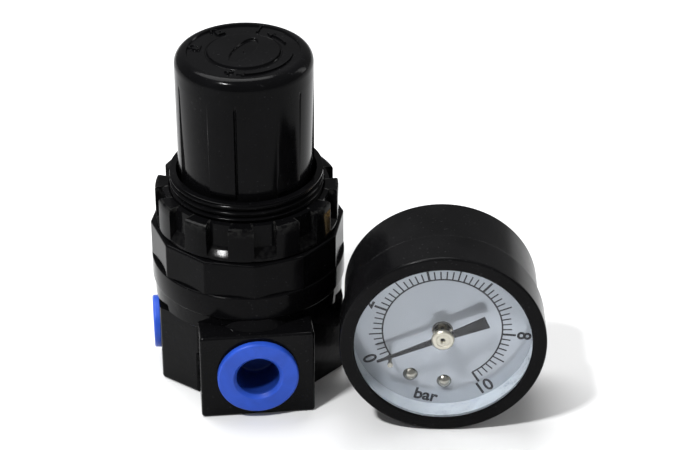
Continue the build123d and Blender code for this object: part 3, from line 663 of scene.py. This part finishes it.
def make_knob():
    """Push-to-lock knob with its grip pads and the marks on its top."""
    low, high = node_box("knob")
    bottom, top = float(low[2]), float(high[2])
    radius = half_width("knob")
    grip_top, grip_bottom = top - 5.1, bottom + 6.3
    outer = rounded([(KNOB_BORE_R, bottom, 0.15), (13.95, bottom, 0.25), (14.03, grip_bottom),
                     (radius, grip_top, 6.0), (radius, top - 2.8)], steps=9)
    rim_width, rim_height = radius - KNOB_FACE_R, 2.6
    outer += [(KNOB_FACE_R + rim_width * math.cos(a), top - rim_height * (1 - math.sin(a)))
              for a in np.linspace(0, math.pi / 2, 19)]
    outer = divided(outer, 0.6)
    # the rows of the flat top lie close together, for the marks
    innermost, rows = 0.12, 112
    flat = [(r, top) for r in np.linspace(KNOB_FACE_R, innermost, rows)[1:]]
    roof, hub_r, hub_end, hole_top = top - 2.2, 7.0, bottom + 14.5, top - 4.1
    inside = [(0, hole_top), (DRIVE_APOTHEM, hole_top), (DRIVE_APOTHEM, hub_end + 0.3), (4.4, hub_end),
              (hub_r - 0.2, hub_end), (hub_r, hub_end + 0.2), (hub_r, roof), (KNOB_BORE_R, roof)]
    rib_low, rib_high, gap = bottom + 8.2, bottom + 10.7, 0.05
    inside += [(KNOB_BORE_R, z) for z in (rib_high + gap, rib_high - gap, rib_low + gap, rib_low - gap)]
    inside.append((KNOB_BORE_R, bottom + 3.5))
    knob = turn("knob_shell", inside + outer + flat + [(0, top)], KNOB_COLUMNS,
                knob_shape(top, grip_top, grip_bottom, radius, rib_low, rib_high), sharp=50)
    piece(knob, "knob", "knob_black", "knob")


# ---- bonnet ----

BONNET_COLUMNS = 720
FACET_APOTHEM = 20.25
PANEL_PITCH = 1.5
NECK_R = 16.5
COLUMN_R = 12.0                 # the column that holds the adjusting screw
SPRING_BORE_R = 10.2


def bonnet_shape(band_top, neck_top, nut_top, lugs, ribs):
    """Function that adds the wrench facets, the panel thread, the grooves for the spring seat's lugs
    and the lock ribs; lugs and ribs hold the heights that those run between."""
    facets, facet_corner, thread_height = 12, 0.8, 0.85
    lug_half, lug_r = 1.15, 11.1

    def shape(r, z, angle):
        on_facets = (r > NECK_R + 2.5) & (z > band_top + 0.01)
        inset = FACET_APOTHEM - np.minimum(r, FACET_APOTHEM)
        r = np.where(on_facets, polygon_radius(angle, facets, FACET_APOTHEM, facet_corner) - inset, r)
        on_thread = (np.abs(r - NECK_R) < 0.05) & (z > nut_top - 0.8) & (z < neck_top - 0.05)
        fade = smooth_step(neck_top - z, 0.0, 0.5)
        r = np.where(on_thread, r - thread_height * thread_depth(z, angle, PANEL_PITCH) * fade, r)
        lug = (np.abs(r - SPRING_BORE_R) < 0.05) & (z > lugs[0]) & (z < lugs[1])
        lug &= np.abs(r * np.cos(angle)) < lug_half
        r = np.where(lug, lug_r, r)
        rib = (np.abs(r - COLUMN_R) < 0.05) & (z > ribs[0]) & (z < ribs[1])
        rib &= off_rib(r, angle, 0.0) < LOCK_RIB_HALF
        return np.where(rib, COLUMN_R + LOCK_RIB_HEIGHT, r), z, angle
    return shape


def make_bonnet():
    """Bonnet: band, twelve wrench facets, threaded neck and the screw's column."""
    low, high = node_box("bonnet")
    nut_low, nut_high = node_box("panel_nut")
    bottom, column_top = float(low[2]), float(high[2])
    band_r = half_width("bonnet")
    seat = float(node_box("body")[1][2])
    band_top, facet_top = seat + 5.6, float(nut_low[2]) - 0.05
    neck_top, nut_top = facet_top + 12.3, float(nut_high[2])
    chamber_r, spigot_r, well_r, screw_r = 14.0, 17.95, 15.0, 3.52
    chamber_top, well_floor, roof = facet_top - 3.0, facet_top + 2.0, column_top - 2.0
    lug_low, rib_low, gap = facet_top + 0.5, column_top - 5.8, 0.05
    outer = rounded([(chamber_r, bottom), (spigot_r, bottom, 0.2), (spigot_r, seat),
                     (band_r - 0.1, seat, 0.35), (band_r, seat + 0.5), (band_r, band_top, 0.30),
                     (FACET_APOTHEM, band_top + 0.02), (FACET_APOTHEM, band_top + 0.08),
                     (FACET_APOTHEM, facet_top, 0.45), (NECK_R, facet_top)], steps=4)
    thread = [(NECK_R, z) for z in np.arange(facet_top + 0.5, neck_top - 0.1, 0.11)]
    inner = rounded([(NECK_R, neck_top - 0.1), (NECK_R - 0.25, neck_top, 0.1), (well_r, neck_top, 0.15),
                     (well_r, well_floor), (COLUMN_R, well_floor), (COLUMN_R, rib_low - gap)], steps=4)
    column = [(COLUMN_R, z) for z in (rib_low + gap, roof - gap, roof + gap)]
    column += rounded([(COLUMN_R, roof + 2 * gap), (COLUMN_R, column_top, 0.3), (screw_r, column_top, 0.1),
                       (screw_r, roof), (SPRING_BORE_R, roof)])
    bore = [(SPRING_BORE_R, z) for z in (roof - 0.1, lug_low + 0.1, lug_low - 0.1, lug_low - 0.5)]
    bore.append((chamber_r, chamber_top))
    shape = bonnet_shape(band_top, neck_top, nut_top, (lug_low, roof - gap), (rib_low, roof))
    bonnet = turn("bonnet_shell", outer + thread + inner + column + bore, BONNET_COLUMNS, shape, sharp=40)
    piece(bonnet, "regulator", "moulded_black", "bonnet")


# ---- panel nut ----

NOTCHES = 12
NOTCH_PITCH = FULL / NOTCHES
NOTCH_PHASE = math.radians(FRONT - 22.8)
NOTCH_INNER_R = 17.9
NOTCH_REACH = 2.95              # the columns are parallel up to this far from a notch's middle


def nut_columns(radius):
    """Angles of the nut's columns at its rim, close together at the notches' sides, and for each
    column its angle from the nearest notch's middle."""
    across = [0.0, 0.8, 1.6, 2.1, 2.25, 2.32, 2.37, 2.42, 2.47, 2.55, 2.7, NOTCH_REACH]
    side = [math.asin(d / radius) for d in across]
    side += list(np.linspace(side[-1], NOTCH_PITCH / 2, 9)[1:])
    one = sorted(set([-a for a in side[:-1]] + side))
    angles = [NOTCH_PHASE + NOTCH_PITCH * k + a for k in range(NOTCHES) for a in one]
    local_angles = one * NOTCHES
    return np.array(angles), np.array(local_angles)


def make_panel_nut():
    """Ring nut with twelve open spanner notches whose edges are worn."""
    low, high = node_box("panel_nut")
    bottom, top = float(low[2]), float(high[2])
    radius = half_width("panel_nut")
    bore = 16.56
    # the same number of corners between the notches and in them
    plain = [(bore, bottom), (radius - 0.35, bottom), (radius, bottom + 0.35), (radius, bottom + 1.1),
             (radius, top - 0.55), (radius - 0.12, top - 0.2), (radius - 0.5, top), (17.6, top),
             (bore + 0.3, top), (bore, top - 0.3)]
    cut = [(bore, bottom), (radius - 0.35, bottom), (radius, bottom + 0.35), (radius, bottom + 0.95),
           (radius - 0.12, bottom + 1.08), (NOTCH_INNER_R + 0.12, bottom + 2.55),
           (NOTCH_INNER_R, bottom + 2.75), (NOTCH_INNER_R - 0.02, top - 0.12), (bore + 0.3, top),
           (bore, top - 0.3)]
    parts = [2, 2, 2, 4, 3, 3, 5, 3, 2, 3]
    rows_plain, rows_cut = [], []
    for index, count in enumerate(parts):
        after = (index + 1) % len(parts)
        for step in range(count):
            share = step / count
            rows_plain.append(np.array(plain[index]) * (1 - share) + np.array(plain[after]) * share)
            rows_cut.append(np.array(cut[index]) * (1 - share) + np.array(cut[after]) * share)
    rows_plain, rows_cut = np.array(rows_plain), np.array(rows_cut)
    angles, local_angles = nut_columns(radius)
    offset = np.abs(radius * np.sin(local_angles))
    wall_start, wall_end = 2.33, 2.46
    weight = 1 - smooth_step(offset, wall_start, wall_end)
    worn = {}

    def shape(r, z, angle):
        r = rows_plain[:, :1] * (1 - weight) + rows_cut[:, :1] * weight
        z = rows_plain[:, 1:] * (1 - weight) + rows_cut[:, 1:] * weight
        # the notches keep their width towards the centre
        turned = np.arcsin(np.clip(radius * np.sin(local_angles) / r, -1, 1))
        fade = 1 - smooth_step(np.abs(local_angles), math.asin(NOTCH_REACH / radius), NOTCH_PITCH / 2)
        angle = angle + (turned - local_angles) * fade
        # wear on the rim's top edge, and on the notches' floors and sides
        rim = (r > radius - 0.6) & (z > top - 0.7)
        floor = (weight > 0.5) & (r > NOTCH_INNER_R + 0.05) & (z < top - 4)
        side = (offset > 2.2) & (offset < 2.7) & (z > top - 1.2)
        worn["mask"] = np.clip(0.08 * rim + 0.03 * floor + 0.15 * side, 0, 1) * np.ones_like(r)
        return r, z, angle

    nut = turn("panel_nut_ring", rows_plain, angles, shape, sharp=42)
    mask = nut.data.attributes.new("wear", "FLOAT", "POINT")
    mask.data.foreach_set("value", worn["mask"].astype(np.float32).ravel())
    piece(nut, "panel_nut", "moulded_black", "panel_nut")


# ---- plugs and port threads ----

SMALL_PITCH = 0.91              # the thread of the gauge ports and of the gauge's stem


def facing(start, outward):
    """Matrix to the row frame from one that starts at a place, with its Z outwards."""
    return Matrix.Translation(start) @ outward.to_track_quat("Z", "Y").to_matrix().to_4x4()


def plug_place(node, direction):
    """Matrix to the row frame from a plug's own, which starts at the flange's front, Z outwards."""
    low, high = node_box(node)
    outward = Vector(direction)
    middle = Vector((low + high) / 2)
    flange_front = max(Vector(low).dot(outward), Vector(high).dot(outward))
    return facing(middle - outward * middle.dot(outward) + outward * flange_front, outward)


def make_plug(name, node, body, direction, flange_r, flange, shank_r, length, cup_r):
    """Dust plug: rounded flange, flared mouth, thin sleeve with two grip rings, and the gate mark
    on the cup's floor."""
    floor_thickness, gate_r = 1.2, 1.1
    floor = floor_thickness - flange - length
    gate = [(0, floor + 0.35), (0.35, floor + 0.35), (0.5, floor + 0.2), (0.55, floor)]
    cup = [(gate_r, floor), (cup_r - 0.1, floor, 0.5), (cup_r, -0.75, 0.3), (cup_r + 0.75, 0.0, 0.25)]
    rim = [(flange_r, 0.0, 0.45), (flange_r, -flange, 0.12)]
    # the sleeve as steps in from the shank's radius, depths behind the flange and corner radii
    steps = [(0.15, 0.0, 0.1), (0.15, 1.0, 0.0), (0.0, 1.3, 0.2), (0.0, 1.9, 0.2), (0.25, 2.4, 0.2),
             (0.25, 3.2, 0.2), (0.0, 3.6, 0.2), (0.0, 4.2, 0.2), (0.3, 5.0, 0.3), (0.45, length, 0.5)]
    sleeve = [(shank_r - inset, -flange - depth, corner) for inset, depth, corner in steps]
    walls = rounded(cup + rim + sleeve + [(0, -flange - length)], steps=4)
    inside = {}

    def shape(r, z, angle):
        # painted shade: 0 at the cup's mouth, rising to 1 deeper inside the cup
        inside["mask"] = smooth_step(-z, 0.2, 1.3) * (r < cup_r + 0.3) * (z > floor - 0.1)
        return r, z, angle

    cup_points, longest = 12, 0.6
    outline = gate + divided(walls[:cup_points], longest) + walls[cup_points:]
    obj = turn(name, outline, 144, shape, plug_place(node, direction))
    # the painted shade's mask, kept as the attribute 'depth'
    mask = obj.data.attributes.new("depth", "FLOAT", "POINT")
    at_gate, at_end = 1.0, 0.0
    values = np.concatenate([inside["mask"].ravel(), [at_gate, at_end]])
    mask.data.foreach_set("value", values.astype(np.float32))
    piece(obj, body, "plug_blue", node)


def make_port_thread(name, radius, start, direction, depth, pitch):
    """Female thread in an open port, as a thin helical sleeve from the port's face inwards."""
    lead_in, thread_height, row_gap = 1.0, 0.75, 0.12

    def shape(r, z, angle):
        inner = r < radius - 0.3
        height = thread_height * (1 - thread_depth(z, angle, pitch)) * smooth_step(-z, 0.2, lead_in)
        return np.where(inner, radius - 0.03 - height, r), z, angle

    rows = [(radius - 0.6, z) for z in np.arange(-lead_in, -depth, -row_gap)]
    outline = [(radius - 0.02, -depth), (radius - 0.02, -lead_in)] + rows
    sleeve = turn(name, outline, 144, shape, facing(start, Vector(direction)))
    piece(sleeve, "regulator", "cast_black")


def make_plugs():
    """The two blue plugs, and the threads in the two open ports."""
    make_plug("front_dust_plug", "port_plug", "port_plug", (0, -1, 0),
              flange_r=8.71, flange=1.5, shank_r=6.5, length=9.0, cup_r=4.6)
    make_plug("side_dust_plug", "gauge_port_plug", "gauge_port_plug", (-1, 0, 0),
              flange_r=5.81, flange=1.4, shank_r=4.8, length=6.5, cup_r=3.2)
    mounts = {mount["name"]: mount for mount in frame["record"]["mounts"]}
    back, side = mounts["outlet_port"], mounts["gauge_port"]
    back_y, side_x = node_box("body")[1][1], 20.0
    back_face = Vector((0, back_y, back["pos_m"][2] / MM))
    side_face = Vector((side_x, 0, side["pos_m"][2] / MM))
    make_port_thread("outlet_thread", back["dims"]["r_mm"], back_face, (0, 1, 0), depth=12.6, pitch=1.34)
    make_port_thread("gauge_port_thread", side["dims"]["r_mm"], side_face, (1, 0, 0),
                     depth=8.3, pitch=SMALL_PITCH)


# ---- gauge ----

DIAL_DEPTH = 6.3
INK = 0.02                      # thickness of the printing
BAR_STEP = 27.0                 # dial degrees for one bar
ZERO_ANGLE = -135.0             # dial angle of the zero tick
SCALE_R = 12.7                  # radius of the scale's arc
CASE_BACK = 23.24
POINTER_REST = -127.6           # dial angle of the pointer's tip at rest


def gauge_piece(name, outline, slot, *replaced, columns=192, shape=None, material=None, sharp=35.0,
                body="gauge"):
    """Turned piece in the gauge's own frame."""
    made = turn(name, outline, columns, shape, GAUGE, sharp)
    return piece(made, body, slot, *replaced, material=material)


def make_case():
    """Bezel with a rolled lip, and the pressed case behind it."""
    bezel_r, bezel_depth, opening, lip = 21.77, 9.28, 18.66, 0.6
    case_r, case_front, wall, back_wall = 20.88, 2.75, 1.0, 1.2
    bezel = rounded([(opening, 0.35, 0.15), (opening + 0.45, 0.0, 0.3), (bezel_r, 0.0, 0.55),
                     (bezel_r, bezel_depth, 0.3), (case_r + 0.02, bezel_depth, 0.1),
                     (case_r + 0.02, lip, 0.2), (opening + 0.1, lip, 0.1)], loop=True, steps=6)
    gauge_piece("bezel_ring", bezel, "gauge_black", "gauge_bezel", columns=288)
    # the back is dished a little, round a collar for the stem
    dish, dish_r, collar_r, hole_r = CASE_BACK - 0.3, 16.9, 7.4, 6.3
    case = rounded([(case_r - wall, case_front), (case_r, case_front, 0.2), (case_r, CASE_BACK, 0.4),
                    (dish_r + 0.6, CASE_BACK, 0.6), (dish_r, dish, 0.4), (collar_r, dish, 0.3),
                    (collar_r - 0.3, CASE_BACK, 0.2), (hole_r, CASE_BACK, 0.2),
                    (hole_r, CASE_BACK - back_wall), (case_r - wall, CASE_BACK - back_wall, 0.6)],
                   loop=True, steps=6)
    gauge_piece("case_shell", case, "gauge_black", "gauge_case", columns=288)


def dial_place(radius, angle):
    """Place on the dial, the angle in degrees clockwise from the dial's top; X right, Y down."""
    turned = math.radians(angle)
    return radius * math.sin(turned), -radius * math.cos(turned)


def scale_angle(pressure):
    """Dial angle of a pressure in bar."""
    return ZERO_ANGLE + BAR_STEP * pressure


def tick(angle, inner, outer, width):
    """One tick as a thin plate."""
    x, y = dial_place(1, angle)
    corners = [(inner, -width / 2), (outer, -width / 2), (outer, width / 2), (inner, width / 2)]
    outline = [(x * r - y * w, y * r + x * w) for r, w in corners]
    return plate("tick", outline, DIAL_DEPTH - INK, DIAL_DEPTH, 0.005, GAUGE)


def arc_line(radius, width, start, end):
    """Printed arc as a thin strip."""
    angles = np.linspace(start, end, 161)
    inner = [dial_place(radius - width / 2, a) for a in angles]
    outer = [dial_place(radius + width / 2, a) for a in angles]
    points = [(x, y, DIAL_DEPTH - INK) for x, y in inner + outer]
    points += [(x, y, DIAL_DEPTH) for x, y in inner + outer]
    count = len(angles)
    faces = []
    for k in range(count - 1):
        a, b = k, k + count
        faces.append([a, a + 1, b + 1, b])
        faces.append([a + 2 * count, b + 2 * count, b + 1 + 2 * count, a + 1 + 2 * count])
        faces.append([a, a + 2 * count, a + 1 + 2 * count, a + 1])
        faces.append([b, b + 1, b + 1 + 2 * count, b + 2 * count])
    for k in (0, count - 1):
        faces.append([k, k + count, k + 3 * count, k + 2 * count])
    return new_object("arc", placed(points, GAUGE).tolist(), faces)


def printed(text, height, width_share, radius, angle, upright, bold=0.02):
    """Text on the dial, centred at a place; upright is the angle of its top, clockwise."""
    curve = bpy.data.curves.new("figure", "FONT")
    curve.body = text
    curve.extrude = 0.01
    curve.offset = bold
    made = bpy.data.objects.new("figure", curve)
    bpy.context.scene.collection.objects.link(made)
    bpy.context.view_layer.update()
    mesh = bpy.data.meshes.new_from_object(made.evaluated_get(bpy.context.evaluated_depsgraph_get()))
    bpy.data.objects.remove(made)
    points = np.array([v.co for v in mesh.vertices])
    low, high = points.min(axis=0), points.max(axis=0)
    scale = height / (high[1] - low[1])
    flat = (points[:, :2] - (low[:2] + high[:2]) / 2) * [scale * width_share, scale]
    depth = DIAL_DEPTH - INK * (points[:, 2] > 0)
    turned = math.radians(upright)
    x0, y0 = dial_place(radius, angle)
    x = x0 + flat[:, 0] * math.cos(turned) + flat[:, 1] * math.sin(turned)
    y = y0 + flat[:, 0] * math.sin(turned) - flat[:, 1] * math.cos(turned)
    faces = [list(polygon.vertices) for polygon in mesh.polygons]
    points = np.stack([x, y, depth], axis=-1)
    return new_object("figure", placed(points, GAUGE).tolist(), faces)


def make_dial_print():
    """Scale from 0 to 10 bar: arc, ticks each fifth of a bar, figures at the even bars, unit."""
    line = 0.30
    parts = [arc_line(SCALE_R, line + 0.04, ZERO_ANGLE, scale_angle(10))]
    divisions = 5
    for index in range(divisions * 10 + 1):
        whole = index % divisions == 0
        even = index % (2 * divisions) == 0
        end = SCALE_R + (2.9 if whole else 2.0)
        width = 0.50 if even else 0.32 if whole else line
        parts.append(tick(scale_angle(index / divisions), SCALE_R, end, width))
    zero, ten = scale_angle(0) + 5.4, scale_angle(10)
    height, width_share = 3.1, 0.95
    parts.append(printed("0", height, width_share, 17.0, zero, zero))
    for pressure in (2, 4, 6, 8):
        angle = scale_angle(pressure)
        parts.append(printed(str(pressure), height, width_share, 17.4, angle, angle))
    parts.append(printed("10", height, width_share, 17.2, ten - 2.2, ten - 180))
    parts.append(printed("bar", 2.9, 1.0, 17.2, 176.7, 0.0, bold=0.03))
    piece(join("dial_print", parts), "gauge", "pointer_paint", material="dial_ink")


def circle_part(radius, start, end, count=7):
    """Points of an arc about the pointer's axis; angles in degrees."""
    angles = np.linspace(math.radians(start), math.radians(end), count)
    return [(radius * math.cos(a), radius * math.sin(a)) for a in angles]


def make_pointer():
    """Pointer blade with a narrow tip and a wide tail."""
    tip, tail, ring_r = 15.1, 10.1, 2.0
    tip_half, root_half, tail_half, waist_half = 0.24, 0.66, 1.4, 0.80
    blade = [(-root_half, 1.6), (-tip_half, tip), (tip_half, tip), (root_half, 1.6)]
    blade += circle_part(ring_r, 40, -50)
    blade += [(waist_half, -2.2), (tail_half, -tail), (-tail_half, -tail), (-waist_half, -2.2)]
    blade += circle_part(ring_r, 230, 140)
    start = math.radians(POINTER_REST)
    cosine, sine = math.cos(start), math.sin(start)
    outline = [(x * cosine + y * sine, x * sine - y * cosine) for x, y in blade]
    blade_depth, thickness = 3.0, 0.4
    made = plate("pointer_blade", outline, blade_depth, blade_depth + thickness, 0.06, GAUGE)
    piece(made, "pointer", "pointer_paint", "pointer")
    shaft_r, flange_r, hub_end = 0.42, 2.41, 4.4
    hub = rounded([(shaft_r, 2.6, 0.05), (0.55, 2.3, 0.1), (0.85, 2.2, 0.1), (1.35, 2.24, 0.1),
                   (1.5, 2.11, 0.08), (2.1, 2.1, 0.2), (flange_r, 2.4, 0.1), (flange_r, 2.98, 0.05),
                   (0.9, 2.99), (0.9, hub_end), (shaft_r, hub_end)], loop=True, steps=4)
    gauge_piece("pointer_boss", hub, "brass", "pointer_hub", columns=96, material="hub_brass", body="pointer")


def make_socket():
    """Threaded stem, wrench hexagon and the flange, with the foot and the posts inside."""
    stem_r, bore_r, tip, hex_back, thread_height = 4.83, 1.5, 41.0, 31.4, 0.52
    hex_apothem, hex_corner_r, hex_limit = 6.5, 7.6, 7.45

    def shape(r, z, angle):
        on_hex = (r > hex_apothem - 0.05) & (z > CASE_BACK) & (z < hex_back + 0.01)
        corners = np.minimum(polygon_radius(angle, 6, hex_apothem, 0.3), r)
        r = np.where(on_hex, np.minimum(corners, hex_limit), r)
        on_thread = (np.abs(r - stem_r) < 0.02) & (z > hex_back + 0.9)
        fade = smooth_step(z, hex_back + 0.9, hex_back + 1.8) * smooth_step(tip - z, 0.5, 1.0)
        height = thread_height * thread_depth(z, angle, SMALL_PITCH) * fade
        return np.where(on_thread, r - height, r), z, angle

    stem = [(bore_r, 17.0), (bore_r, tip - 0.4), (1.9, tip), (stem_r - 0.75, tip), (stem_r - 0.5, tip - 0.18),
            (stem_r, tip - 0.7)]
    stem += [(stem_r, z) for z in np.arange(tip - 0.8, hex_back + 0.8, -0.09)]
    stem += [(stem_r - 0.45, hex_back + 0.7), (stem_r - 0.45, hex_back + 0.1), (5.6, hex_back)]
    hexagon = [(6.6, hex_back), (7.0, hex_back - 0.1925), (7.3, hex_back - 0.4125),
               (hex_corner_r, hex_back - 0.66), (hex_corner_r, CASE_BACK + 0.9), (7.3, CASE_BACK + 0.5),
               (6.6, CASE_BACK + 0.1)]
    neck_r, foot_r, foot_front, foot_back = 6.2, 12.0, 13.42, 19.6
    inside = [(neck_r, CASE_BACK + 0.08), (neck_r, CASE_BACK - 1.3), (foot_r, CASE_BACK - 1.3),
              (foot_r, foot_back), (neck_r, foot_back), (neck_r, foot_front), (bore_r, foot_front)]
    gauge_piece("stem_socket", stem + hexagon + inside, "brass", "gauge_socket", columns=216, shape=shape,
                sharp=30)
    foot_half, foot_start, foot_end = 5.6, 3.0, 15.6
    foot = [(-foot_half, foot_start), (foot_half, foot_start), (foot_half, foot_end), (-foot_half, foot_end)]
    piece(plate("socket_foot", foot, foot_front, foot_back - 0.4, 0.2, GAUGE), "gauge", "brass")
    post_r, post_front, post_back, post_place_r = 1.7, 6.95, 13.6, 13.2
    outline = rounded([(0, post_front), (post_r, post_front, 0.1), (post_r, post_back, 0.1), (0, post_back)])
    posts = []
    for angle in (163.6, 196.4):
        x, y = dial_place(post_place_r, angle)
        posts.append(turn("post", outline, 48, place=GAUGE @ Matrix.Translation((x, y, 0))))
    piece(join("dial_posts", posts), "gauge", "brass")


def make_gauge():
    """The loose gauge. Its clear crystal casts no shadow on the dial."""
    make_case()
    make_dial_print()
    make_pointer()
    make_socket()
    NODES["gauge_crystal"].visible_shadow = False


make_camera()
make_studio()
paint_cad_nodes()
make_knob()
make_bonnet()
make_panel_nut()
make_plugs()
make_gauge()
